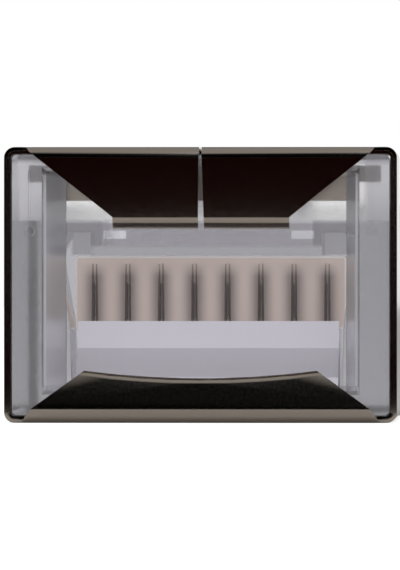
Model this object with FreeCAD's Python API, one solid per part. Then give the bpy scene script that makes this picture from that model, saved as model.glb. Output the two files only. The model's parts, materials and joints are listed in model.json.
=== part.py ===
"""Shielded eight-way modular plug, uncrimped and without its cable. Units are millimetres.

X is the width, +Y the way the plug goes into its jack, +Z the latch side. The plug rests on its
contact side at z = 0. Depths named d run forward from the cable end, and y = d - PLUG_LENGTH / 2.
"""
import math
import os

import FreeCAD
import Part

# ---- overall ----
PLUG_WIDTH = 11.68
PLUG_LENGTH = 21.50
SHELL_HEIGHT = 8.20
NOSE_HEIGHT = 6.60

# ---- folded sheet shield ----
SHEET = 0.20
SHEET_GAP = 0.03
CORNER_RADIUS = 0.32
TOP_BEND = 0.33
FLOOR_BEND = 0.46
STEP_BEND = 0.50
REAR_BLOCK_LENGTH = 6.50
NOSE_LENGTH = 5.70
CONTACT_END_LENGTH = 9.10
SEAM_GAP = 0.08
SEAM_SPREAD = 0.19
FLANGE_WING_DEPTH = 0.50
FLANGE_WING_SPAN = 10.60
FLANGE_LIFT = 0.05
FLANGE_ROOF = 1.50
CHEEK_DROP = 0.25
CHEEK_SLOPE = 0.90
CHEEK_LOW = 0.75
FLAP_NOTCH = 0.08
TOP_FLAP_ROOT = 10.38
TOP_FLAP_NECK = 10.14
TOP_NECK_DROP = 0.15
TOP_FLAP_TIP = 5.26
TOP_FLAP_DROP = 2.43
TOP_FLAP_LEAN = 20.0
TOP_LIP_RADIUS = 0.54
FLOOR_FLAP_ROOT = 10.68
FLOOR_FLAP_NECK = 10.12
FLOOR_NECK_RISE = 0.40
FLOOR_FLAP_TIP = 6.90
FLOOR_FLAP_RISE = 1.56
FLOOR_FLAP_LEAN = 16.0
FLOOR_FLAP_SAG = 0.23
FLOOR_LIP_RADIUS = 0.24
LIP_TURN = 172.0

# ---- clear housing ----
MOUTH_WIDTH = 9.22
MOUTH_FLOOR = 0.95
MOUTH_ROOF_WALL = 0.47
MOUTH_EDGE = 0.12
MOUTH_TAPER = 0.38
CORE_PIN_RADIUS = 0.15
THROAT_SIDE_ROOM = 0.22
TROUGH_WIDTH = 8.60
TROUGH_DEPTH = 0.56
SHOULDER_SETBACK = 3.50
LATCH_WELL_WIDTH = 6.40
LATCH_WELL_DEPTH = 1.30
LATCH_WELL_SETBACK = 0.40
ROOF_WALL = 0.30
NOSE_CHAMFER = 0.35
NOSE_GAP = 0.08
BELLY_HEIGHT = 1.50
MOUTH_STEEP = 0.10
MOUTH_END_WALL = 0.75
THROAT_FLARE = 0.28
THROAT_LOW_INSET = 0.12
CORE_PIN_OFFSET = 0.22
CORE_PIN_DROP = 0.90
CORE_PIN_DEPTH = 0.80
CORE_PIN_SLIT = 0.06
CORE_PIN_SLIT_DEPTH = 0.35

# ---- contacts and conductor channels ----
CONTACT_COUNT = 8
CONTACT_PITCH = 1.02
BLADE_THICKNESS = 0.35
BLADE_CLEARANCE = 0.035
BLADE_LENGTH = 5.80
BLADE_CREST = 0.08
BLADE_BODY = 2.25
BLADE_TIP = 3.00
BLADE_NIB = 0.38
SLOT_END_GAP = 0.08
SLOT_FRONT_GAP = 0.04
CHANNEL_LENGTH = 10.30
NOSE_WALL = 1.00
CHANNEL_WIDTH = 0.82
CHANNEL_SETBACK = 1.70
LANE_GROOVE = 0.22
LANE_MOUTH = 0.06
CHANNEL_POINT = 0.36
LANE_GROOVE_DEPTH = 0.30
CHANNEL_FLOOR = 3.05
CHANNEL_HEIGHT = 1.10
SLOT_TOP = 4.70

# ---- strain relief ----
RELIEF_WIDTH = 7.96
RELIEF_LENGTH = 3.50
RELIEF_SETBACK = 0.50
RELIEF_CREST = 3.00
BAR_WIDTH = 7.90
BAR_SETBACK = 2.40
BAR_LENGTH = 1.75
BAR_CREST = 2.85
RELIEF_CLEARANCE = 0.08
RELIEF_PIVOT_RADIUS = 0.35
BAR_PIVOT_RADIUS = 0.30
PIVOT_CLEARANCE = 0.05
RELIEF_END_GAP = 0.25
BAR_END_GAP = 0.12
BAR_WINDOW_RISE = 0.45

# ---- latch ----
LATCH_WIDTH = 6.00
LATCH_TAIL_WIDTH = 3.25
LATCH_TAIL_GAP = 0.22
LATCH_TAIL_DROP = 0.14
LATCH_SHOULDER = 7.70
LATCH_ROOT_RADIUS = 0.45
LATCH_ROOT_CLEARANCE = 0.05
LATCH_THICKNESS = 1.05

# ---- positions that follow from the sizes above ----
HALF_LENGTH = PLUG_LENGTH / 2
CORE_HALF = PLUG_WIDTH / 2 - SHEET - SHEET_GAP
CORE_FLOOR = SHEET + SHEET_GAP
CORE_TOP = SHELL_HEIGHT - SHEET - SHEET_GAP
CORE_ROUND = CORNER_RADIUS - SHEET + 0.02
STEP_ROUND = STEP_BEND - SHEET - SHEET_GAP
HOUSING_REAR = max(TOP_BEND, FLOOR_BEND)
TROUGH_FLOOR = NOSE_HEIGHT - TROUGH_DEPTH
WELL_FLOOR = NOSE_HEIGHT - LATCH_WELL_DEPTH
HINGE_D = PLUG_LENGTH - 0.90
HINGE_Z = NOSE_HEIGHT - 0.60
BLADE_FRONT = PLUG_LENGTH - 0.45
BLADE_REAR = BLADE_FRONT - BLADE_LENGTH
SIDE_SHEET_END = PLUG_LENGTH - NOSE_LENGTH
FLOOR_SHEET_END = PLUG_LENGTH - CONTACT_END_LENGTH
CHANNEL_END = PLUG_LENGTH - NOSE_WALL
CHANNEL_START = CHANNEL_END - CHANNEL_LENGTH
RELIEF_HINGE = CHANNEL_START - RELIEF_SETBACK
RELIEF_REAR = RELIEF_HINGE - RELIEF_LENGTH
RELIEF_SEAT_Z = CORE_FLOOR + RELIEF_PIVOT_RADIUS + 0.02
BAR_REAR = BLADE_REAR - BAR_SETBACK
BAR_HINGE = BAR_REAR + BAR_LENGTH - BAR_PIVOT_RADIUS - 0.03
BAR_SEAT_Z = BAR_PIVOT_RADIUS + 0.12
INNER_WIDTH = RELIEF_WIDTH + 2 * THROAT_SIDE_ROOM
LATCH_LENGTH = HINGE_D - REAR_BLOCK_LENGTH - SHEET_GAP - SHEET - LATCH_TAIL_GAP
LATCH_UP = LATCH_THICKNESS * 0.6
LATCH_RISE = SHELL_HEIGHT - LATCH_TAIL_DROP - LATCH_UP - HINGE_Z
LATCH_REST_ANGLE = math.degrees(math.asin(LATCH_RISE / LATCH_LENGTH))


def point(x, d, z):
    """A point at depth d from the cable end."""
    return FreeCAD.Vector(x, d - HALF_LENGTH, z)


def box(x0, x1, d0, d1, z0, z1):
    """A block between the given limits."""
    return Part.makeBox(x1 - x0, d1 - d0, z1 - z0, point(x0, d0, z0))


def side_prism(outline, x0, x1):
    """A prism along X from an outline of (d, z) corners."""
    corners = [point(x0, d, z) for d, z in outline]
    face = Part.Face(Part.makePolygon(corners + corners[:1]))
    return face.extrude(FreeCAD.Vector(x1 - x0, 0, 0))


def end_prism(outline, d0, d1):
    """A prism along Y from an outline of (x, z) corners."""
    corners = [point(x, d0, z) for x, z in outline]
    face = Part.Face(Part.makePolygon(corners + corners[:1]))
    return face.extrude(FreeCAD.Vector(0, d1 - d0, 0))


def plan_prism(outline, z0, z1):
    """A prism along Z from an outline of (x, d) corners."""
    corners = [point(x, d, z0) for x, d in outline]
    face = Part.Face(Part.makePolygon(corners + corners[:1]))
    return face.extrude(FreeCAD.Vector(0, 0, z1 - z0))


def mirrored(outline):
    """An (x, z) outline of the right half joined to its mirror image."""
    return outline + [(-x, z) for x, z in reversed(outline)]


def rod(x0, x1, d, z, radius):
    """A round bar along X."""
    return Part.makeCylinder(radius, x1 - x0, point(x0, d, z), FreeCAD.Vector(1, 0, 0))


def frustum(lower, upper, d0, d1):
    """A straight loft between two (x0, x1, z0, z1) rectangles at two depths."""
    wires = []
    for (x0, x1, z0, z1), d in ((lower, d0), (upper, d1)):
        corners = [point(x0, d, z0), point(x1, d, z0), point(x1, d, z1), point(x0, d, z1)]
        wires.append(Part.makePolygon(corners + corners[:1]))
    return Part.makeLoft(wires, True, True)


def rounded_bar(x0, x1, d0, d1, z0, z1, radius):
    """A block whose four long edges along Y are rounded."""
    body = box(x0, x1, d0, d1, z0, z1)
    long_edges = [e for e in body.Edges if abs(e.BoundBox.YLength - (d1 - d0)) < 1e-6]
    return body.makeFillet(radius, long_edges)


# ---- shield ----
def bend_face(side, centre_d, centre_z, radii, start, end, x):
    """The section of a bend. side is 1 for the latch side and -1 for the contact side."""
    inner, outer = radii

    def at(radius, angle):
        turn = math.radians(angle)
        return point(x, centre_d - radius * math.sin(turn),
                     centre_z + side * radius * math.cos(turn))

    a, b, c = (at(outer, t) for t in (start, (start + end) / 2, end))
    f, g, h = (at(inner, t) for t in (end, (start + end) / 2, start))
    edges = [Part.Arc(a, b, c).toShape(), Part.makeLine(c, f)]
    edges += [Part.Arc(f, g, h).toShape(), Part.makeLine(h, a)]
    return Part.Face(Part.Wire(edges))


def bend(side, centre_d, centre_z, radii, start, end, x0, x1):
    """A bent strip of sheet along X."""
    section = bend_face(side, centre_d, centre_z, radii, start, end, x0)
    return section.extrude(FreeCAD.Vector(x1 - x0, 0, 0))


def sheet_low(side):
    """The lower face of the latch-side or contact-side sheet."""
    return SHELL_HEIGHT - SHEET if side > 0 else 0


def flap_lines(side, rise, lean, lip_radius):
    """The straight stretch of a flap in (d, z): outer and inner starts and ends, and its way."""
    radius = TOP_BEND if side > 0 else FLOOR_BEND
    centre_z = SHELL_HEIGHT - radius if side > 0 else radius
    turn = math.radians(90 + lean)
    way = (math.sin(math.radians(lean)), -side * math.cos(math.radians(lean)))

    def at(distance):
        return (radius - distance * math.sin(turn), centre_z + side * distance * math.cos(turn))

    out, inn = at(radius), at(radius - SHEET)
    edge = SHELL_HEIGHT if side > 0 else 0
    lip_drop = lip_radius * (math.cos(turn) - math.cos(math.radians(LIP_TURN)))
    length = (rise - lip_drop - abs(edge - out[1])) / math.cos(math.radians(lean))
    ends = [(a[0] + way[0] * length, a[1] + way[1] * length) for a in (out, inn)]
    return out, inn, ends[0], ends[1], way


def flap_root(side, half, lean):
    """The bend of a flap over the cable end, with the sheet it grows from."""
    radius = TOP_BEND if side > 0 else FLOOR_BEND
    centre_z = SHELL_HEIGHT - radius if side > 0 else radius
    curl = bend(side, radius, centre_z, (radius - SHEET, radius), 0, 90 + lean, -half, half)
    sheet = box(-half, half, radius, HOUSING_REAR + 0.2,
                sheet_low(side), sheet_low(side) + SHEET)
    return curl.fuse(sheet)


def lip_centre(far_out, far_inn, lip_radius):
    """Where a lip's bend has its centre, on the inner side of the flap."""
    reach = lip_radius / SHEET
    return (far_out[0] + (far_inn[0] - far_out[0]) * reach,
            far_out[1] + (far_inn[1] - far_out[1]) * reach)


def top_flap():
    """The latch-side flap: a taper down to a straight lip that curls in."""
    half = TOP_FLAP_ROOT / 2
    lines = flap_lines(1, TOP_FLAP_DROP, TOP_FLAP_LEAN, TOP_LIP_RADIUS)
    out, inn, far_out, far_inn, _ = lines
    plate = side_prism([out, far_out, far_inn, inn], -half, half)
    centre = lip_centre(far_out, far_inn, TOP_LIP_RADIUS)
    lip = bend(1, centre[0], centre[1], (TOP_LIP_RADIUS - SHEET, TOP_LIP_RADIUS),
               90 + TOP_FLAP_LEAN, LIP_TURN, -half, half)
    blank = flap_root(1, half, TOP_FLAP_LEAN).fuse([plate, lip])
    top, tip, point_half = SHELL_HEIGHT, far_out[1], TOP_FLAP_TIP / 2
    outline = mirrored([(half, top + 1), (half, top), (TOP_FLAP_NECK / 2, top - TOP_NECK_DROP),
                        (point_half, tip), (point_half, tip - 1)])
    return blank.common(end_prism(outline, -1, 3))


def floor_flap():
    """The contact-side flap: tapered, its free edge a hollow arc with the lip curled along it."""
    half, tip = FLOOR_FLAP_ROOT / 2, FLOOR_FLAP_TIP / 2
    low_rise = FLOOR_FLAP_RISE - FLOOR_FLAP_SAG
    lines = flap_lines(-1, low_rise, FLOOR_FLAP_LEAN, FLOOR_LIP_RADIUS)
    out, inn, far_out, far_inn, way = lines
    radius = (tip * tip + FLOOR_FLAP_SAG ** 2) / (2 * FLOOR_FLAP_SAG)
    spare = FLOOR_FLAP_SAG * 1.5
    ends = [(a[0] + way[0] * spare, a[1] + way[1] * spare) for a in (far_out, far_inn)]
    plate = side_prism([out, ends[0], ends[1], inn], -half, half)
    lean = math.radians(FLOOR_FLAP_LEAN)
    across = FreeCAD.Vector(0, math.cos(lean), -math.sin(lean))
    hub = point(0, far_out[0] + way[0] * radius, far_out[1] + way[1] * radius)
    plate = plate.cut(Part.makeCylinder(radius, 2, hub - across, across))
    centre = lip_centre(far_out, far_inn, FLOOR_LIP_RADIUS)
    section = bend_face(-1, centre[0], centre[1],
                        (FLOOR_LIP_RADIUS - SHEET, FLOOR_LIP_RADIUS),
                        90 + FLOOR_FLAP_LEAN, LIP_TURN, 0)
    sweep = math.degrees(math.asin(tip / radius)) + 1
    section.rotate(hub, across, -sweep)
    lip = section.revolve(hub, across, 2 * sweep)
    blank = flap_root(-1, half, FLOOR_FLAP_LEAN).fuse([plate, lip])
    outline = mirrored([(half, -1), (half, 0), (FLOOR_FLAP_NECK / 2, FLOOR_NECK_RISE),
                        (tip, FLOOR_FLAP_RISE), (tip, FLOOR_FLAP_RISE + SHELL_HEIGHT)])
    return blank.common(end_prism(outline, -1, 3))


def step_flange():
    """The short flange turned down in front of the rear block, with a wing over each corner."""
    half = TROUGH_WIDTH / 2
    d1 = REAR_BLOCK_LENGTH + SHEET_GAP + SHEET
    centre_d, centre_z = d1 - STEP_BEND, SHELL_HEIGHT - STEP_BEND
    outer = Part.makeCylinder(STEP_BEND, 2 * half, point(-half, centre_d, centre_z),
                              FreeCAD.Vector(1, 0, 0))
    outer = outer.cut(rod(-half - 1, half + 1, centre_d, centre_z, STEP_BEND - SHEET))
    corner = outer.common(box(-half, half, centre_d, d1 + 1, centre_z, SHELL_HEIGHT + 1))
    plate = box(-half, half, d1 - SHEET, d1, NOSE_HEIGHT + FLANGE_LIFT, centre_z)
    roof = box(-half, half, REAR_BLOCK_LENGTH - FLANGE_ROOF, centre_d,
               SHELL_HEIGHT - SHEET, SHELL_HEIGHT)
    wing = FLANGE_WING_SPAN / 2
    wings = box(-wing, wing, d1 - SHEET, d1, centre_z - FLANGE_WING_DEPTH, centre_z)
    return corner.fuse([plate, roof, wings])


def shield():
    """The folded sheet shield: sleeve, side cheeks, floor sheet, flange and entry flaps."""
    half = PLUG_WIDTH / 2
    sleeve_end = REAR_BLOCK_LENGTH
    outer = rounded_bar(-half, half, 0.3, SIDE_SHEET_END, 0, SHELL_HEIGHT, CORNER_RADIUS)
    inner = rounded_bar(-half + SHEET, half - SHEET, -1, SIDE_SHEET_END + 1,
                        SHEET, SHELL_HEIGHT - SHEET, CORNER_RADIUS - SHEET)
    sleeve = outer.cut(inner)
    cheek_top = TROUGH_FLOOR - CHEEK_DROP
    clear = SHELL_HEIGHT + 1
    over = [(sleeve_end, clear), (sleeve_end, SHELL_HEIGHT - CHEEK_SLOPE),
            (sleeve_end + CHEEK_SLOPE, cheek_top), (SIDE_SHEET_END + 1, cheek_top),
            (SIDE_SHEET_END + 1, clear)]
    sleeve = sleeve.cut(side_prism(over, -half - 1, half + 1))
    under = [(FLOOR_SHEET_END, -1), (FLOOR_SHEET_END, CHEEK_LOW),
             (SIDE_SHEET_END + 1, CHEEK_LOW), (SIDE_SHEET_END + 1, -1)]
    sleeve = sleeve.cut(side_prism(under, -half - 1, half + 1))
    for root, z0, z1 in ((TOP_FLAP_ROOT, SHELL_HEIGHT - 1, SHELL_HEIGHT + 1),
                         (FLOOR_FLAP_ROOT, -1, 1)):
        notch = root / 2 + FLAP_NOTCH
        sleeve = sleeve.cut(box(-notch, notch, 0, HOUSING_REAR, z0, z1))
    window = box(-RELIEF_WIDTH / 2 + 0.35, RELIEF_WIDTH / 2 - 0.35,
                 RELIEF_REAR - 0.4, RELIEF_HINGE - 0.5, -1, SHEET + 0.1)
    sleeve = sleeve.cut(window)
    body = sleeve.fuse([top_flap(), floor_flap(), step_flange()])
    gap, spread = SEAM_GAP / 2, SEAM_SPREAD / 2
    seam = box(-gap, gap, -1, REAR_BLOCK_LENGTH + 2, SHELL_HEIGHT / 2, SHELL_HEIGHT + 1)
    tip = SHELL_HEIGHT - TOP_FLAP_DROP - 0.1
    opened = end_prism([(-gap, SHELL_HEIGHT), (gap, SHELL_HEIGHT), (spread, tip), (-spread, tip)],
                       -1, HOUSING_REAR + 1)
    return body.cut(seam).cut(opened).removeSplitter()


# ---- housing ----
def housing_outside():
    """The housing's outer shape: rear block, waist under the shield, and full-width nose."""
    half = PLUG_WIDTH / 2
    start = SIDE_SHEET_END + NOSE_GAP
    rear = rounded_bar(-CORE_HALF, CORE_HALF, HOUSING_REAR, REAR_BLOCK_LENGTH, CORE_FLOOR,
                       CORE_TOP, CORE_ROUND)
    waist = rounded_bar(-CORE_HALF, CORE_HALF, HOUSING_REAR, start + 0.5, CORE_FLOOR,
                        NOSE_HEIGHT, CORE_ROUND)
    belly = box(-CORE_HALF, CORE_HALF, FLOOR_SHEET_END + NOSE_GAP, start + 0.5, 0, BELLY_HEIGHT)
    nose = box(-half, half, start, PLUG_LENGTH, 0, NOSE_HEIGHT)
    end_edges = [e for e in nose.Edges
                 if e.BoundBox.YMin > HALF_LENGTH - 1e-6 and e.Length > 1]
    nose = nose.makeChamfer(NOSE_CHAMFER, end_edges)
    corner_d, corner_z = REAR_BLOCK_LENGTH - STEP_ROUND, CORE_TOP - STEP_ROUND
    corner = box(-half, half, corner_d, REAR_BLOCK_LENGTH + 1, corner_z, CORE_TOP + 1)
    corner = corner.cut(rod(-half - 1, half + 1, corner_d, corner_z, STEP_ROUND))
    shoulders = box(-half - 1, half + 1, REAR_BLOCK_LENGTH, PLUG_LENGTH - SHOULDER_SETBACK,
                    TROUGH_FLOOR, SHELL_HEIGHT + 1)
    return rear.cut(corner).fuse([waist, belly, nose]).cut(shoulders)


def latch_space():
    """The trough, the well below the latch and the round seat at its root."""
    d0, clear = REAR_BLOCK_LENGTH, SHELL_HEIGHT + 1
    wide, narrow = TROUGH_WIDTH / 2, LATCH_WELL_WIDTH / 2
    trough = box(-wide, wide, d0, HINGE_D + 0.4, TROUGH_FLOOR, clear)
    well = box(-narrow, narrow, d0 + LATCH_WELL_SETBACK, HINGE_D - LATCH_ROOT_RADIUS * 0.65,
               WELL_FLOOR, clear)
    half = LATCH_WIDTH / 2 + LATCH_ROOT_CLEARANCE
    seat = rod(-half, half, HINGE_D, HINGE_Z, LATCH_ROOT_RADIUS + LATCH_ROOT_CLEARANCE)
    above = box(-half, half, HINGE_D - 0.5, PLUG_LENGTH + 1, HINGE_Z, clear)
    return trough.fuse([well, seat, above])


def cable_cavity():
    """The stepped hollow from the cable mouth to the start of the conductor channels."""
    half, roof = MOUTH_WIDTH / 2, CORE_TOP - MOUTH_ROOF_WALL
    start = HOUSING_REAR
    edge, narrow = MOUTH_EDGE, MOUTH_TAPER
    flare = frustum((-half - edge, half + edge, MOUTH_FLOOR - edge, roof + edge),
                    (-half, half, MOUTH_FLOOR, roof), start - 0.01, start + 2 * edge)
    room = frustum((-half, half, MOUTH_FLOOR, roof),
                   (-half + narrow, half - narrow, MOUTH_FLOOR + MOUTH_STEEP, roof - MOUTH_STEEP),
                   start + 2 * edge - 0.05, REAR_BLOCK_LENGTH - MOUTH_END_WALL)
    inner = INNER_WIDTH / 2
    step = LATCH_WELL_WIDTH / 2 + ROOF_WALL
    low, high = WELL_FLOOR - ROOF_WALL, TROUGH_FLOOR - ROOF_WALL - 0.04
    throat = mirrored([(step, low), (step, high), (inner, high), (inner + THROAT_FLARE, low - 0.1),
                       (inner - 0.05, CHANNEL_FLOOR - 0.05),
                       (inner - THROAT_LOW_INSET, MOUTH_FLOOR + MOUTH_STEEP)])
    throat = end_prism(throat, REAR_BLOCK_LENGTH - MOUTH_END_WALL - 0.05, CHANNEL_START)
    return flare.fuse([room, throat])


def relief_window():
    """The opening in the contact side round the cable strain relief."""
    half = RELIEF_WIDTH / 2 + RELIEF_CLEARANCE
    seat = RELIEF_PIVOT_RADIUS + PIVOT_CLEARANCE
    opening = box(-half, half, RELIEF_REAR - RELIEF_END_GAP, RELIEF_HINGE, -1,
                  MOUTH_FLOOR + 0.3)
    return opening.fuse(rod(-half, half, RELIEF_HINGE, RELIEF_SEAT_Z, seat))


def bar_window():
    """The opening in the contact side round the conductor strain relief bar."""
    half = BAR_WIDTH / 2 + RELIEF_CLEARANCE
    top = CHANNEL_FLOOR + BAR_WINDOW_RISE
    opening = box(-half, half, BAR_REAR - BAR_END_GAP, BAR_HINGE, -1, top)
    slope = side_prism([(BAR_HINGE - 0.1, 0.45), (BAR_HINGE - 0.1, top), (BAR_HINGE + 0.28, top),
                        (BAR_HINGE + 0.28, 1.0), (BAR_HINGE + 0.2, 0.45)], -half, half)
    seat = BAR_PIVOT_RADIUS + PIVOT_CLEARANCE
    return opening.fuse([slope, rod(-half, half, BAR_HINGE, BAR_SEAT_Z, seat)])


def lane_centres():
    """Centre lines of the conductor lanes across the width."""
    first = -(CONTACT_COUNT - 1) / 2
    return [(first + i) * CONTACT_PITCH for i in range(CONTACT_COUNT)]


def lane_groove(x):
    """The vertical lead-in groove of a lane: a V that fades out towards its top."""
    half, slit = LANE_GROOVE / 2, LANE_MOUTH / 2
    d0 = CHANNEL_START - 0.05
    wires = []
    for z, share in ((CHANNEL_FLOOR - 0.1, 1.0), (SLOT_TOP + 0.05, 0.25)):
        depth = 0.05 + LANE_GROOVE_DEPTH * share
        corners = [point(x - half, d0, z), point(x + half, d0, z),
                   point(x + slit, d0 + depth, z), point(x - slit, d0 + depth, z)]
        wires.append(Part.makePolygon(corners + corners[:1]))
    return Part.makeLoft(wires, True, True)


def lane(x):
    """One conductor lane: lead-in groove, mouth, channel with a pointed end, contact slot."""
    gap = BLADE_THICKNESS / 2 + BLADE_CLEARANCE
    start, top = CHANNEL_START, CHANNEL_FLOOR + CHANNEL_HEIGHT
    slit = LANE_MOUTH / 2
    mouth = box(x - slit, x + slit, start, start + CHANNEL_SETBACK + 0.5, CHANNEL_FLOOR, top)
    half = CHANNEL_WIDTH / 2
    tip = CHANNEL_END - CHANNEL_POINT
    channel = rounded_bar(x - half, x + half, start + CHANNEL_SETBACK, tip,
                          CHANNEL_FLOOR, top, half * 0.8)
    inset, high = CHANNEL_POINT * 0.2, CHANNEL_POINT * 0.9
    pointed = frustum((x - half + inset, x + half - inset, CHANNEL_FLOOR + inset, top - inset),
                      (x - half + high, x + half - high, CHANNEL_FLOOR + high, top - high),
                      tip - 0.02, CHANNEL_END)
    slot = box(x - gap, x + gap, BLADE_REAR - SLOT_END_GAP, BLADE_FRONT + SLOT_FRONT_GAP,
               -1, SLOT_TOP)
    front = box(x - gap, x + gap, BLADE_FRONT - 0.1, PLUG_LENGTH + 1, -1, BLADE_BODY - 0.15)
    return lane_groove(x).fuse([mouth, channel, pointed, slot, front])


def core_pin_mark(side):
    """The round blind hole left by a core pin in a side wall, with the fine slit above it."""
    x = side * (MOUTH_WIDTH / 2 + MOUTH_EDGE + CORE_PIN_RADIUS + CORE_PIN_OFFSET)
    z, half = NOSE_HEIGHT - CORE_PIN_DROP, CORE_PIN_SLIT / 2
    hole = Part.makeCylinder(CORE_PIN_RADIUS, HOUSING_REAR + CORE_PIN_DEPTH, point(x, 0, z),
                             FreeCAD.Vector(0, 1, 0))
    slit = box(x - half, x + half, 0, HOUSING_REAR + CORE_PIN_SLIT_DEPTH, z,
               CORE_TOP - MOUTH_ROOF_WALL)
    return hole.fuse(slit)


def housing():
    """The clear moulded housing."""
    body = housing_outside()
    for space in (latch_space(), cable_cavity(), relief_window(), bar_window()):
        body = body.cut(space)
    for x in lane_centres():
        body = body.cut(lane(x))
    for side in (-1, 1):
        body = body.cut(core_pin_mark(side))
    return body.removeSplitter()


# ---- moving parts ----
def latch():
    """The latch at its rest height: round root, wide arm with locking shoulders, narrow tail."""
    up = LATCH_UP
    down = LATCH_THICKNESS - up
    half, tail = LATCH_WIDTH / 2, LATCH_TAIL_WIDTH / 2
    root = LATCH_ROOT_RADIUS
    side = [(0, -root * 0.7), (-3.2, -down), (-LATCH_LENGTH, -down), (-LATCH_LENGTH, up - 0.1),
            (-LATCH_LENGTH + 0.5, up), (-LATCH_SHOULDER, up), (-1.4, root), (0, root)]
    arm = side_prism([(HINGE_D + d, HINGE_Z + z) for d, z in side], -half, half)
    plan = [(half, 0.5), (half, -LATCH_SHOULDER), (tail, -LATCH_SHOULDER - 0.25),
            (tail, -LATCH_LENGTH + 0.35), (tail - 0.35, -LATCH_LENGTH)]
    plan = plan + [(-x, d) for x, d in reversed(plan)]
    plan = [(x, HINGE_D + d) for x, d in plan]
    arm = arm.common(plan_prism(plan, HINGE_Z - 3, HINGE_Z + 3))
    arm = arm.fuse(rod(-half, half, HINGE_D, HINGE_Z, root))
    arm.rotate(point(0, HINGE_D, HINGE_Z), FreeCAD.Vector(-1, 0, 0), LATCH_REST_ANGLE)
    return arm.removeSplitter()


def blade(x):
    """One contact blade: a plate on edge with a rounded crest and piercing points."""
    d0, d1 = BLADE_REAR, BLADE_FRONT
    nib = BLADE_NIB
    outline = [(d0, BLADE_CREST + 0.55), (d0 + 0.35, BLADE_CREST + 0.12),
               (d0 + 0.75, BLADE_CREST), (d1 - 0.85, BLADE_CREST),
               (d1 - 0.4, BLADE_CREST + 0.12), (d1 - 0.1, BLADE_CREST + 0.42),
               (d1, BLADE_CREST + 0.85), (d1, BLADE_BODY - 0.3), (d1 - 0.2, BLADE_BODY)]
    for centre in (d0 + BLADE_LENGTH * 0.66, d0 + BLADE_LENGTH * 0.22):
        outline += [(centre + nib + 0.15, BLADE_BODY), (centre + nib, BLADE_TIP - 0.5),
                    (centre + 0.08, BLADE_TIP), (centre - 0.08, BLADE_TIP),
                    (centre - nib, BLADE_TIP - 0.5), (centre - nib - 0.15, BLADE_BODY)]
    outline += [(d0, BLADE_BODY)]
    return side_prism(outline, x - BLADE_THICKNESS / 2, x + BLADE_THICKNESS / 2)


def cable_relief():
    """The cable strain relief: a wedge carried on a thin web from a round film hinge."""
    half = RELIEF_WIDTH / 2
    floor = CORE_FLOOR + 0.07
    crest = RELIEF_CREST
    hinge = RELIEF_PIVOT_RADIUS
    outline = [(RELIEF_HINGE, RELIEF_SEAT_Z - hinge), (RELIEF_REAR, floor),
               (RELIEF_REAR, crest - 1.70), (RELIEF_REAR + 1.45, crest - 0.82),
               (RELIEF_REAR + 1.75, crest), (RELIEF_REAR + 1.95, crest),
               (RELIEF_HINGE - 0.75, RELIEF_SEAT_Z + hinge), (RELIEF_HINGE, RELIEF_SEAT_Z + hinge)]
    wedge = side_prism(outline, -half, half)
    return wedge.fuse(rod(-half, half, RELIEF_HINGE, RELIEF_SEAT_Z, hinge)).removeSplitter()


def conductor_relief():
    """The conductor strain relief: a narrow bar behind the contacts with its own film hinge."""
    half = BAR_WIDTH / 2
    low, high = BAR_SEAT_Z - BAR_PIVOT_RADIUS, BAR_SEAT_Z + BAR_PIVOT_RADIUS
    outline = [(BAR_HINGE, low), (BAR_REAR, low), (BAR_REAR, 1.2),
               (BAR_REAR + 0.25, BAR_CREST), (BAR_REAR + 0.6, BAR_CREST),
               (BAR_HINGE - BAR_PIVOT_RADIUS / 2, high), (BAR_HINGE, high)]
    bar = side_prism(outline, -half, half)
    return bar.fuse(rod(-half, half, BAR_HINGE, BAR_SEAT_Z, BAR_PIVOT_RADIUS)).removeSplitter()


def main():
    """Writes one STEP file for each piece."""
    pieces = {
        "housing": housing(),
        "shield_shell": shield(),
        "latch": latch(),
        "jacket_strain_relief": cable_relief(),
        "conductor_strain_relief": conductor_relief(),
    }
    for number, x in enumerate(lane_centres(), start=1):
        pieces["contact_%d" % number] = blade(x)
    os.makedirs("parts", exist_ok=True)
    for name, shape in pieces.items():
        shape.exportStep("parts/%s.step" % name)
        box_of = shape.BoundBox
        print(name, "solids", len(shape.Solids), "valid", shape.isValid(),
              "x %.2f..%.2f y %.2f..%.2f z %.2f..%.2f volume %.2f" % (
                  box_of.XMin, box_of.XMax, box_of.YMin, box_of.YMax, box_of.ZMin, box_of.ZMax,
                  shape.Volume))


main()
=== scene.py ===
"""Shielded eight-way modular plug, uncrimped, dressed round its CAD frame.

Lengths are in metres, unless their name ends in mm, in the frame's own axes: X is the width, +Y
the way the plug goes into its jack and +Z the latch side.
"""
import json
import logging
import math
from dataclasses import dataclass, field
from enum import Enum
from typing import Any

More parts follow.
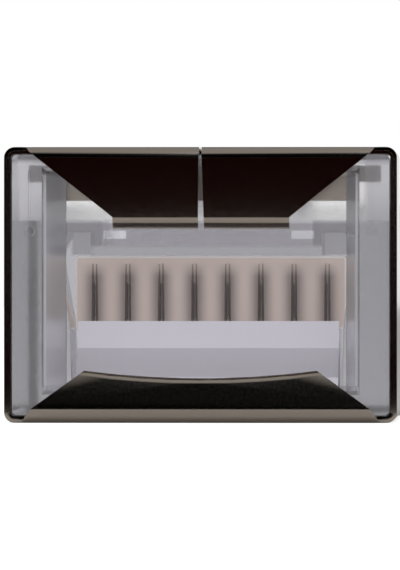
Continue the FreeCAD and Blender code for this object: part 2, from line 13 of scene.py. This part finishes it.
import bmesh
import bpy
import numpy as np
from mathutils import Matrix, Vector

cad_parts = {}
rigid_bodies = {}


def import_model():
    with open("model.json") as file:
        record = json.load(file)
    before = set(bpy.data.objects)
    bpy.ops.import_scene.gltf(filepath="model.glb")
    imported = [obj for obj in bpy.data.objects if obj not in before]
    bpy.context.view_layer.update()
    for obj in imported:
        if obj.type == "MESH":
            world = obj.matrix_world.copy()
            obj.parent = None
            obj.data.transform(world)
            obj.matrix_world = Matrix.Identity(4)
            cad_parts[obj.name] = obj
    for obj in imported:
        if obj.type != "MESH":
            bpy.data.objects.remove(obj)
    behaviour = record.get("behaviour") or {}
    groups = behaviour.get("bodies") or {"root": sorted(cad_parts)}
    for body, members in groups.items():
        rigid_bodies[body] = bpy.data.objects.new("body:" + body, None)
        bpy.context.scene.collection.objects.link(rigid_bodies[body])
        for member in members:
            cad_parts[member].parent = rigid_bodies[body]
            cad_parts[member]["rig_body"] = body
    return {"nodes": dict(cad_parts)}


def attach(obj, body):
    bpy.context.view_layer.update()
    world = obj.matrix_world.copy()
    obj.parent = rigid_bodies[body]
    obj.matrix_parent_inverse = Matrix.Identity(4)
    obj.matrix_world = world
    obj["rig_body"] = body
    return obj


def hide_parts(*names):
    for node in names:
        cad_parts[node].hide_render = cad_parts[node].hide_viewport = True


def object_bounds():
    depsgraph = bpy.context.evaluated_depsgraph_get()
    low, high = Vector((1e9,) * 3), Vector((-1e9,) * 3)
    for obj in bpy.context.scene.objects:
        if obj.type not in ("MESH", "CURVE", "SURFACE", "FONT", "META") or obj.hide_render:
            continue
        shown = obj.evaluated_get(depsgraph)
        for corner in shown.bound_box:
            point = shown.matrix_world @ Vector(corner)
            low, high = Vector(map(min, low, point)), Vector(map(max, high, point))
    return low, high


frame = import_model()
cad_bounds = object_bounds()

LOG = logging.getLogger("plug")
MM = 0.001
WELD_MM = 0.0005
EDGE_ANGLE = math.radians(28)
EDGE_SEGMENTS = 3


def mm(*lengths: float) -> tuple[float, ...]:
    """Turns lengths in millimetres into metres."""
    return tuple(length * MM for length in lengths)


def cable_end_centre() -> tuple[float, float, float]:
    """Gives the middle of the cable end's face, to a hundredth of a millimetre."""
    low, high = cad_bounds
    return (0.0, round(low[1], 5), round((low[2] + high[2]) / 2, 5))


def linear(hex_colour: str) -> tuple[float, float, float, float]:
    """Turns an sRGB hex colour into a linear RGBA tuple.

    Args:
        hex_colour: Six hex digits after a hash, such as "#8090a0".

    Returns:
        Linear red, green, blue and an alpha of 1.
    """
    raw = np.array([int(hex_colour[i:i + 2], 16) for i in (1, 3, 5)]) / 255.0
    value = np.where(raw <= 0.04045, raw / 12.92, ((raw + 0.055) / 1.055) ** 2.4)
    return (float(value[0]), float(value[1]), float(value[2]), 1.0)


def add_node(tree: bpy.types.NodeTree, kind: str, settings: dict[str, Any] | None = None,
             links: dict[Any, Any] | None = None) -> bpy.types.Node:
    """Adds one node with its settings and links.

    Args:
        tree: The node tree to add to.
        kind: The node's type name.
        settings: Values by attribute name, or by input name or number.
        links: Source sockets by input name or number.

    Returns:
        The new node.
    """
    node = tree.nodes.new(kind)
    for key, value in (settings or {}).items():
        if isinstance(key, str) and hasattr(node, key):
            setattr(node, key, value)
        else:
            node.inputs[key].default_value = value
    for key, source in (links or {}).items():
        tree.links.new(source, node.inputs[key])
    return node


def new_tree(name: str) -> tuple[bpy.types.Material, bpy.types.NodeTree]:
    """Makes an empty node material and returns it with its tree."""
    material = bpy.data.materials.new(name)
    material.use_nodes = True
    material.node_tree.nodes.clear()
    return material, material.node_tree


def rounded_copy(node: bpy.types.Object, name: str, radius_mm: float) -> bpy.types.Object:
    """Makes a welded copy of a node with its sharp edges rounded.

    Args:
        node: The carried-over node to stand for.
        name: The new piece's name.
        radius_mm: Radius of the rounded edges.

    Returns:
        The new piece, with no body yet.
    """
    work = bmesh.new()
    work.from_mesh(node.data)
    bmesh.ops.remove_doubles(work, verts=work.verts, dist=WELD_MM * MM)
    mesh = bpy.data.meshes.new(name)
    work.to_mesh(mesh)
    work.free()
    mesh.materials.clear()
    mesh.polygons.foreach_set("use_smooth", np.ones(len(mesh.polygons), dtype=bool))
    piece = bpy.data.objects.new(name, mesh)
    bpy.context.scene.collection.objects.link(piece)
    bevel = piece.modifiers.new("rounded edges", "BEVEL")
    bevel.width = radius_mm * MM
    bevel.segments = EDGE_SEGMENTS
    bevel.limit_method = "ANGLE"
    bevel.angle_limit = EDGE_ANGLE
    bevel.use_clamp_overlap = True
    weighted = piece.modifiers.new("flat faces kept flat", "WEIGHTED_NORMAL")
    weighted.keep_sharp = True
    return piece


def set_material(obj: bpy.types.Object, material: bpy.types.Material) -> None:
    """Puts one material in every slot of an object, adding a slot if it has none."""
    if not obj.material_slots:
        obj.data.materials.append(material)
    for slot in obj.material_slots:
        slot.material = material


@dataclass(frozen=True)
class PaintedSlotShade:
    """Painted shade: soft dark stripes on the milky comb face, over the contact slots."""

    pitch: float = 1.02 * MM
    colour: str = "#7f7674"
    softness: float = 1.1
    low: float = 2.60 * MM
    high: float = 4.80 * MM
    fade: float = 0.45 * MM

    def mask(self, tree: bpy.types.NodeTree, axes: bpy.types.Node,
             zone: bpy.types.NodeSocket) -> bpy.types.NodeSocket:
        """Builds the mask of the painted shade stripes.

        Each stripe is half of one less the cosine of x over the pitch, raised to the softness,
        so its middle lies on a contact. It fades out at both ends in z.

        Args:
            tree: The material's node tree.
            axes: A node that splits the object coordinates.
            zone: The mask of the zone that shows the stripes.

        Returns:
            The socket that is 1 in the middle of a stripe and 0 between stripes.
        """
        turns = add_node(tree, "ShaderNodeMath",
                         {"operation": "MULTIPLY", 1: 2 * math.pi / self.pitch},
                         {0: axes.outputs["X"]})
        wave = add_node(tree, "ShaderNodeMath", {"operation": "COSINE"}, {0: turns.outputs[0]})
        raised = add_node(tree, "ShaderNodeMath", {"operation": "MULTIPLY_ADD", 1: -0.5, 2: 0.5},
                          {0: wave.outputs[0]})
        stripe = add_node(tree, "ShaderNodeMath", {"operation": "POWER", 1: self.softness},
                          {0: raised.outputs[0]}).outputs[0]
        for edge, inner in ((self.low, self.low + self.fade), (self.high, self.high - self.fade)):
            ramp = add_node(tree, "ShaderNodeMapRange", {"From Min": edge, "From Max": inner},
                            {"Value": axes.outputs["Z"]}).outputs["Result"]
            stripe = add_node(tree, "ShaderNodeMath", {"operation": "MULTIPLY"},
                              {0: stripe, 1: ramp}).outputs[0]
        return add_node(tree, "ShaderNodeMath", {"operation": "MULTIPLY"},
                        {0: stripe, 1: zone}).outputs[0]


@dataclass(frozen=True)
class TexturedZone:
    """A box of the housing: a textured, milky or extra polished mould face, or painted shade or
    highlights.
    """

    low: tuple[float, float, float]
    high: tuple[float, float, float]
    colour: str
    roughness: float
    clear: float
    fade: float = 0.12 * MM
    stripes: PaintedSlotShade | None = None

    def mask(self, tree: bpy.types.NodeTree, axes: bpy.types.Node) -> bpy.types.NodeSocket:
        """Builds the zone's mask.

        The mask is the product of six ramps, one at each side of the box in object coordinates,
        each rising from 0 to 1 over the fade width.

        Args:
            tree: The material's node tree.
            axes: A node that splits the object coordinates.

        Returns:
            The socket that is 1 in the zone and 0 outside.
        """
        product = None
        for axis, low, high in zip("XYZ", self.low, self.high):
            for edge, inner in ((low, low + self.fade), (high, high - self.fade)):
                ramp = add_node(tree, "ShaderNodeMapRange", {"From Min": edge, "From Max": inner},
                                {"Value": axes.outputs[axis]}).outputs["Result"]
                if product is not None:
                    ramp = add_node(tree, "ShaderNodeMath", {"operation": "MULTIPLY"},
                                    {0: product, 1: ramp}).outputs[0]
                product = ramp
        return product


# The face of the comb between the lanes, milky pink, with painted shade in stripes over the slots.
COMB_FACE = TexturedZone(mm(-4.20, -0.80, 2.70), mm(4.20, 0.30, 5.02), "#cabbb5",
                         roughness=0.50, clear=0.12, stripes=PaintedSlotShade())
# The flared walls of the cable mouth, lightly textured.
MOUTH_WALL = TexturedZone(mm(-4.90, -10.25, 1.00), mm(4.90, -5.10, 7.45), "#e0dfe5",
                          roughness=0.25, clear=0.35)
# The ledge over the comb, greyer than the comb itself.
COMB_TOP = TexturedZone(mm(-4.35, -0.80, 4.95), mm(4.35, 0.30, 5.85), "#aeacb0",
                        roughness=0.28, clear=0.60)
# The cut end of the plate over the throat, a grey bar.
PLATE_END = TexturedZone(mm(-4.90, -5.10, 5.20), mm(4.90, -4.80, 6.06), "#8f8d92",
                         roughness=0.20, clear=0.60)
# All that stands above the throat, from the shoulders to the nose, polished and fully clear.
WINDOW = TexturedZone(mm(-4.90, -5.10, 6.00), mm(4.90, 10.95, 8.20), "#ffffff",
                      roughness=0.16, clear=0.99)
# Painted shade: the lanes' far ends tinted dark, so that the background doesn't show through the
# narrow mouths.
LANE_END_SHADE = TexturedZone(mm(-4.35, 9.10, 2.90), mm(4.35, 10.50, 4.30), "#6f6766",
                        roughness=0.50, clear=0.12)
# Painted highlights: two small clear patches on the plate's end, where bright reflections show.
HIGHLIGHT_HALF_MM = 0.36
PLATE_HIGHLIGHTS = tuple(
    TexturedZone(mm(x - HIGHLIGHT_HALF_MM, -5.10, 5.48), mm(x + HIGHLIGHT_HALF_MM, -4.80, 5.76), "#f6f5f9",
                 roughness=0.10, clear=0.90, fade=0.04 * MM)
    for x in (-2.77, 2.92))
# The shoulder face either side of the latch trough.
SHOULDER_FACE = TexturedZone(mm(-5.80, -4.60, 5.90), mm(5.80, -4.05, 8.10), "#d6d4da",
                             roughness=0.30, clear=0.72)


@dataclass(frozen=True)
class ClearPolycarbonate:
    """Injection-moulded clear polycarbonate: gloss, high index, a faint grey lavender cast.

    The polished mould leaves long flow lines, drawn coarse enough to show, and a slight ripple
    that breaks up what is seen through the walls. Its textured zones look milky.
    """

    name: str = "clear moulded polycarbonate"
    colour: str = "#f6f5f9"
    ior: float = 1.586
    roughness: float = 0.10
    clear: float = 0.90
    rough_low: float = 0.6
    rough_high: float = 1.4
    ripple_mm: float = 0.6
    ripple_height_mm: float = 0.003
    ripple_strength: float = 0.4
    ripple_stretch: float = 0.35
    depth_colour: str = "#50505a"
    density: float = 70.0
    zones: tuple[TexturedZone, ...] = ()

    def build(self) -> bpy.types.Material:
        """Builds the material.

        Returns:
            The finished material.
        """
        material, tree = new_tree(self.name)
        place = add_node(tree, "ShaderNodeTexCoord")
        stretch = add_node(tree, "ShaderNodeMapping", {"Scale": (1.0, self.ripple_stretch, 1.0)},
                           {"Vector": place.outputs["Object"]})
        flow = add_node(tree, "ShaderNodeTexNoise",
                        {"Scale": 1 / (self.ripple_mm * MM), "Detail": 3.0},
                        {"Vector": stretch.outputs["Vector"]})
        rough = add_node(tree, "ShaderNodeMapRange",
                         {"To Min": self.roughness * self.rough_low,
                          "To Max": self.roughness * self.rough_high},
                         {"Value": flow.outputs["Fac"]})
        bump = add_node(tree, "ShaderNodeBump",
                        {"Strength": self.ripple_strength,
                         "Distance": self.ripple_height_mm * MM},
                        {"Height": flow.outputs["Fac"]})
        shader = add_node(tree, "ShaderNodeBsdfPrincipled",
                          {"Base Color": linear(self.colour), "IOR": self.ior,
                           "Transmission Weight": self.clear},
                          {"Roughness": rough.outputs["Result"], "Normal": bump.outputs["Normal"]})
        self.add_zones(tree, place, shader, rough.outputs["Result"])
        haze = add_node(tree, "ShaderNodeVolumeAbsorption",
                        {"Color": linear(self.depth_colour), "Density": self.density})
        add_node(tree, "ShaderNodeOutputMaterial",
                 links={"Surface": shader.outputs["BSDF"], "Volume": haze.outputs["Volume"]})
        return material

    def add_zones(self, tree: bpy.types.NodeTree, place: bpy.types.Node,
                  shader: bpy.types.Node, rough: bpy.types.NodeSocket) -> None:
        """Blends each zone's colour, roughness and clearness in over the plain plastic.

        Args:
            tree: The material's node tree.
            place: The texture coordinate node.
            shader: The shader whose sockets are driven.
            rough: The plain plastic's roughness.
        """
        if not self.zones:
            return
        axes = add_node(tree, "ShaderNodeSeparateXYZ", links={0: place.outputs["Object"]})
        tint, clear = None, None
        for zone in self.zones:
            mask = zone.mask(tree, axes)
            rough = add_node(tree, "ShaderNodeMix", {"data_type": "FLOAT", "B": zone.roughness},
                             {"Factor": mask, "A": rough}).outputs[0]
            mix = add_node(tree, "ShaderNodeMix", {"data_type": "FLOAT", "A": self.clear,
                                                   "B": zone.clear}, {"Factor": mask})
            if clear is not None:
                tree.links.new(clear, mix.inputs["A"])
            clear = mix.outputs[0]
            mix = add_node(tree, "ShaderNodeMix", {"data_type": "RGBA", 6: linear(self.colour),
                                                   7: linear(zone.colour)}, {0: mask})
            if tint is not None:
                tree.links.new(tint, mix.inputs[6])
            tint = mix.outputs[2]
            # Painted shade: the dark stripes over the slots are mixed into the tint.
            if zone.stripes is not None:
                dark = zone.stripes.mask(tree, axes, mask)
                tint = add_node(tree, "ShaderNodeMix",
                                {"data_type": "RGBA", 7: linear(zone.stripes.colour)},
                                {0: dark, 6: tint}).outputs[2]
        tree.links.new(rough, shader.inputs["Roughness"])
        tree.links.new(clear, shader.inputs["Transmission Weight"])
        tree.links.new(tint, shader.inputs["Base Color"])


@dataclass(frozen=True)
class NickelPlatedSheet:
    """Bright nickel plating on folded copper-alloy sheet: a warm mirror, faintly lined.

    Rolling leaves lines along the sheet that break its reflections up a little. The real ones
    are finer, and are drawn as coarse as they need to be to show.
    """

    name: str = "bright nickel plated sheet"
    colour: str = "#b9aea2"
    roughness: float = 0.12
    rough_low: float = 0.7
    rough_high: float = 1.5
    grain_mm: float = 0.08
    grain_stretch: float = 0.06

    def build(self) -> bpy.types.Material:
        """Builds the material.

        Returns:
            The finished material.
        """
        material, tree = new_tree(self.name)
        place = add_node(tree, "ShaderNodeTexCoord")
        stretch = add_node(tree, "ShaderNodeMapping", {"Scale": (1.0, self.grain_stretch, 1.0)},
                           {"Vector": place.outputs["Object"]})
        lines = add_node(tree, "ShaderNodeTexNoise",
                         {"Scale": 1 / (self.grain_mm * MM), "Detail": 2.0},
                         {"Vector": stretch.outputs["Vector"]})
        rough = add_node(tree, "ShaderNodeMapRange",
                         {"To Min": self.roughness * self.rough_low,
                          "To Max": self.roughness * self.rough_high},
                         {"Value": lines.outputs["Fac"]})
        shader = add_node(tree, "ShaderNodeBsdfPrincipled",
                          {"Base Color": linear(self.colour), "Metallic": 1.0},
                          {"Roughness": rough.outputs["Result"]})
        add_node(tree, "ShaderNodeOutputMaterial", links={"Surface": shader.outputs["BSDF"]})
        return material


@dataclass(frozen=True)
class GoldPlate:
    """Thin gold plating on a stamped copper-alloy blade: a soft yellow gloss.

    The stamped metal's grain under the plating is finer than this, and is drawn as coarse as it
    needs to be to show.
    """

    name: str = "gold plated copper alloy"
    colour: str = "#dcae5a"
    roughness: float = 0.22
    rough_low: float = 0.7
    rough_high: float = 1.4
    grain_mm: float = 0.06

    def build(self) -> bpy.types.Material:
        """Builds the material.

        Returns:
            The finished material.
        """
        material, tree = new_tree(self.name)
        place = add_node(tree, "ShaderNodeTexCoord")
        grain = add_node(tree, "ShaderNodeTexNoise", {"Scale": 1 / (self.grain_mm * MM)},
                         {"Vector": place.outputs["Object"]})
        rough = add_node(tree, "ShaderNodeMapRange",
                         {"To Min": self.roughness * self.rough_low,
                          "To Max": self.roughness * self.rough_high},
                         {"Value": grain.outputs["Fac"]})
        shader = add_node(tree, "ShaderNodeBsdfPrincipled",
                          {"Base Color": linear(self.colour), "Metallic": 1.0},
                          {"Roughness": rough.outputs["Result"]})
        add_node(tree, "ShaderNodeOutputMaterial", links={"Surface": shader.outputs["BSDF"]})
        return material


class Seen(Enum):
    """Which surfaces answer to a lamp."""

    MATT = "matt faces only"
    MIRROR = "reflections only"


@dataclass(frozen=True)
class Lamp:
    """A square lamp aimed at the plug.

    A lamp without a shadow stands for the light that clear walls let through to the inside.
    """

    name: str
    place: tuple[float, float, float]
    size: float
    watts: float
    seen: Seen
    colour: tuple[float, float, float] = (1.0, 1.0, 1.0)
    shadow: bool = True
    aim: tuple[float, float, float] = (0.0, 0.0, 4.0 * MM)

    def build(self) -> None:
        """Adds the lamp to the scene."""
        light = bpy.data.lights.new(self.name, "AREA")
        light.size = self.size
        light.energy = self.watts
        light.color = self.colour
        light.use_shadow = self.shadow
        obj = bpy.data.objects.new(self.name, light)
        obj.location = self.place
        beam = Vector(self.aim) - Vector(self.place)
        obj.rotation_euler = beam.to_track_quat("-Z", "Y").to_euler()
        obj.visible_transmission = False
        obj.visible_glossy = self.seen is Seen.MIRROR
        obj.visible_diffuse = self.seen is Seen.MATT
        bpy.context.scene.collection.objects.link(obj)


@dataclass
class Studio:
    """The pale floor, the soft lamps and the bright surround with its dark camera side."""

    floor_colour: str = "#d2d2d2"
    floor_glow: float = 0.72
    floor_size: float = 3.0
    card_colour: str = "#1c0807"
    flag_half: float = 0.60
    flag_far: float = -0.80
    flag_near: float = -16.5 * MM
    flag_height: float = 0.1 * MM
    dark_from: float = 0.35
    dark_to: float = 0.70
    mirror_ambient: float = 0.10
    clear_ambient: float = 0.35
    overhead: float = 0.40
    overhead_from: float = 0.62
    overhead_full: float = 0.80
    backdrop: float = 1.0
    backdrop_from: float = 0.90
    backdrop_full: float = 0.97
    fill: float = 0.55
    lamps: tuple[Lamp, ...] = (
        Lamp("top_softbox", (0.0, -0.05, 0.40), 0.30, 0.30, Seen.MATT),
        Lamp("front_fill", (0.02, -0.38, 0.05), 0.12, 0.25, Seen.MATT, shadow=False),
        Lamp("left_fill", (-0.20, -0.34, 0.04), 0.12, 0.42, Seen.MATT, shadow=False),
        Lamp("right_fill", (0.20, -0.34, 0.04), 0.12, 0.42, Seen.MATT, shadow=False),
        Lamp("corner_spark", (0.168, -0.256, 0.256), 0.07, 0.90, Seen.MIRROR, (0.86, 0.93, 1.0)),
    )

    def build(self) -> None:
        """Builds the floor, the lamps and the world."""
        self.add_floor()
        for lamp in self.lamps:
            lamp.build()
        self.add_flag()
        self.add_world()

    def add_flag(self) -> None:
        """Adds a black card on the floor before the cable end, seen only in reflections."""
        mesh = bpy.data.meshes.new("black_flag")
        wide, far, near = self.flag_half, self.flag_far, self.flag_near
        height = self.flag_height
        mesh.from_pydata([(-wide, far, height), (wide, far, height), (wide, near, height),
                          (-wide, near, height)], [], [(0, 1, 2, 3)])
        flag = bpy.data.objects.new("black_flag", mesh)
        bpy.context.scene.collection.objects.link(flag)
        material, tree = new_tree("black card")
        card = add_node(tree, "ShaderNodeBsdfDiffuse", {"Color": linear(self.card_colour)})
        add_node(tree, "ShaderNodeOutputMaterial", links={"Surface": card.outputs[0]})
        set_material(flag, material)
        flag.visible_camera = False
        flag.visible_diffuse = False
        flag.visible_transmission = False
        flag.visible_shadow = False

    def add_floor(self) -> None:
        """Adds the floor, white to the camera apart from the plug's own shadow."""
        half = self.floor_size / 2
        mesh = bpy.data.meshes.new("floor")
        mesh.from_pydata([(-half, -half, 0), (half, -half, 0), (half, half, 0), (-half, half, 0)],
                         [], [(0, 1, 2, 3)])
        floor = bpy.data.objects.new("floor", mesh)
        bpy.context.scene.collection.objects.link(floor)
        material, tree = new_tree("matt white paper floor")
        path = add_node(tree, "ShaderNodeLightPath")
        seen = add_node(tree, "ShaderNodeMath", {"operation": "MAXIMUM"},
                        {0: path.outputs["Is Camera Ray"], 1: path.outputs["Is Transmission Ray"]})
        paper = add_node(tree, "ShaderNodeBsdfDiffuse", {"Color": linear(self.floor_colour)})
        glow = add_node(tree, "ShaderNodeEmission", {"Color": (1, 1, 1, 1)})
        level = add_node(tree, "ShaderNodeMath", {"operation": "MULTIPLY", 1: self.floor_glow},
                         {0: seen.outputs[0]})
        tree.links.new(level.outputs[0], glow.inputs["Strength"])
        both = add_node(tree, "ShaderNodeAddShader",
                        links={0: paper.outputs[0], 1: glow.outputs[0]})
        add_node(tree, "ShaderNodeOutputMaterial", links={"Surface": both.outputs[0]})
        set_material(floor, material)

    def add_world(self) -> None:
        """Adds the surround: white behind the plug, a grey strip overhead, dark at the camera.

        For a direction (x, y, z) the level is the greatest of three: the ambient one, fading to
        nothing towards -Y, the overhead strip where z is near 1, and the backdrop where y is near
        1. Matt faces get the fill level from every side instead, and the camera sees white.
        """
        world = bpy.data.worlds.new("light tent")
        bpy.context.scene.world = world
        world.use_nodes = True
        tree = world.node_tree
        tree.nodes.clear()
        path = add_node(tree, "ShaderNodeLightPath")
        place = add_node(tree, "ShaderNodeTexCoord")
        way = add_node(tree, "ShaderNodeSeparateXYZ", links={0: place.outputs["Generated"]})
        ambient = add_node(tree, "ShaderNodeMix", {"data_type": "FLOAT", "A": self.mirror_ambient,
                                                   "B": self.clear_ambient},
                           {"Factor": path.outputs["Is Transmission Ray"]})
        tent = add_node(tree, "ShaderNodeMapRange",
                        {"From Min": -self.dark_to, "From Max": -self.dark_from, "To Min": 0.0},
                        {"Value": way.outputs["Y"], "To Max": ambient.outputs[0]})
        strip = add_node(tree, "ShaderNodeMapRange",
                         {"From Min": self.overhead_from, "From Max": self.overhead_full,
                          "To Max": self.overhead},
                         {"Value": way.outputs["Z"]})
        drop = add_node(tree, "ShaderNodeMapRange",
                        {"From Min": self.backdrop_from, "From Max": self.backdrop_full,
                         "To Max": self.backdrop},
                        {"Value": way.outputs["Y"]})
        upper = add_node(tree, "ShaderNodeMath", {"operation": "MAXIMUM"},
                         {0: tent.outputs["Result"], 1: strip.outputs["Result"]})
        level = add_node(tree, "ShaderNodeMath", {"operation": "MAXIMUM"},
                         {0: upper.outputs[0], 1: drop.outputs["Result"]})
        diffuse = add_node(tree, "ShaderNodeMix", {"data_type": "FLOAT", "B": self.fill},
                           {"Factor": path.outputs["Is Diffuse Ray"], "A": level.outputs[0]})
        strength = add_node(tree, "ShaderNodeMath", {"operation": "MAXIMUM"},
                            {0: diffuse.outputs[0], 1: path.outputs["Is Camera Ray"]})
        back = add_node(tree, "ShaderNodeBackground", {"Color": (1, 1, 1, 1)},
                        {"Strength": strength.outputs[0]})
        add_node(tree, "ShaderNodeOutputWorld", links={"Surface": back.outputs[0]})


@dataclass
class EndViewCamera:
    """A long-lens camera square on to the cable end, a little to its right."""

    azimuth: float = 1.9
    distance: float = 0.300
    lens: float = 638.5
    sensor_width: float = 36.0
    clip: tuple[float, float] = (0.01, 10.0)
    aim: tuple[float, float, float] = field(default_factory=cable_end_centre)

    def build(self) -> None:
        """Adds the camera and makes it the scene's own."""
        data = bpy.data.cameras.new("camera")
        data.lens = self.lens
        data.sensor_width = self.sensor_width
        data.clip_start, data.clip_end = self.clip
        camera = bpy.data.objects.new("camera", data)
        turn = math.radians(self.azimuth)
        back = Vector((math.sin(turn), -math.cos(turn), 0.0))
        camera.location = Vector(self.aim) + back * self.distance
        camera.rotation_euler = back.to_track_quat("Z", "Y").to_euler()
        bpy.context.scene.collection.objects.link(camera)
        bpy.context.scene.camera = camera


@dataclass
class SubAssembly:
    """Carried-over nodes of one finish, some of which get rounded edges."""

    nodes: tuple[str, ...] = ()
    finish: ClearPolycarbonate | NickelPlatedSheet | GoldPlate = ClearPolycarbonate()
    edge_mm: dict[str, float] = field(default_factory=dict)

    def build(self) -> None:
        """Dresses each node, and puts a rounded copy in the place of each one with an edge."""
        material = self.finish.build()
        for name in self.nodes:
            set_material(frame["nodes"][name], material)
            if name in self.edge_mm:
                self.round_off(name, material)
            LOG.info("dressed %s", name)

    def round_off(self, name: str, material: bpy.types.Material) -> None:
        """Puts a rounded copy in the place of one node, riding on the same body.

        Args:
            name: The node's name.
            material: The copy's material.
        """
        node = frame["nodes"][name]
        piece = rounded_copy(node, name + "_rounded", self.edge_mm[name])
        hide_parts(name)
        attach(piece, node["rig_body"])
        set_material(piece, material)


@dataclass
class ClearBody(SubAssembly):
    """The clear housing and the spring latch over it."""

    nodes: tuple[str, ...] = ("housing", "latch")
    finish: ClearPolycarbonate = ClearPolycarbonate(
        zones=(MOUTH_WALL, SHOULDER_FACE, WINDOW, PLATE_END, *PLATE_HIGHLIGHTS, COMB_TOP, COMB_FACE,
               LANE_END_SHADE))


@dataclass
class StrainReliefs(SubAssembly):
    """The two strain reliefs that the crimp pushes in, with mould-textured faces."""

    nodes: tuple[str, ...] = ("conductor_strain_relief", "jacket_strain_relief")
    finish: ClearPolycarbonate = ClearPolycarbonate(
        name="clear polycarbonate with a mould-textured face", colour="#d8d5de",
        roughness=0.35, clear=0.12)
    edge_mm: dict[str, float] = field(default_factory=lambda: {"jacket_strain_relief": 0.30})


@dataclass
class Shield(SubAssembly):
    """The folded sheet shield, its edges broken by the press."""

    nodes: tuple[str, ...] = ("shield_shell",)
    finish: NickelPlatedSheet = NickelPlatedSheet()
    edge_mm: dict[str, float] = field(default_factory=lambda: {"shield_shell": 0.06})


@dataclass
class Contacts(SubAssembly):
    """The eight contact blades."""

    nodes: tuple[str, ...] = tuple(f"contact_{number}" for number in range(1, 9))
    finish: GoldPlate = GoldPlate()


def main() -> None:
    """Builds the studio, the camera and the plug."""
    logging.basicConfig(level=logging.INFO)
    bpy.context.scene.view_settings.view_transform = "Standard"
    Studio().build()
    EndViewCamera().build()
    for part in (ClearBody(), StrainReliefs(), Shield(), Contacts()):
        part.build()


if __name__ == "__main__":
    main()
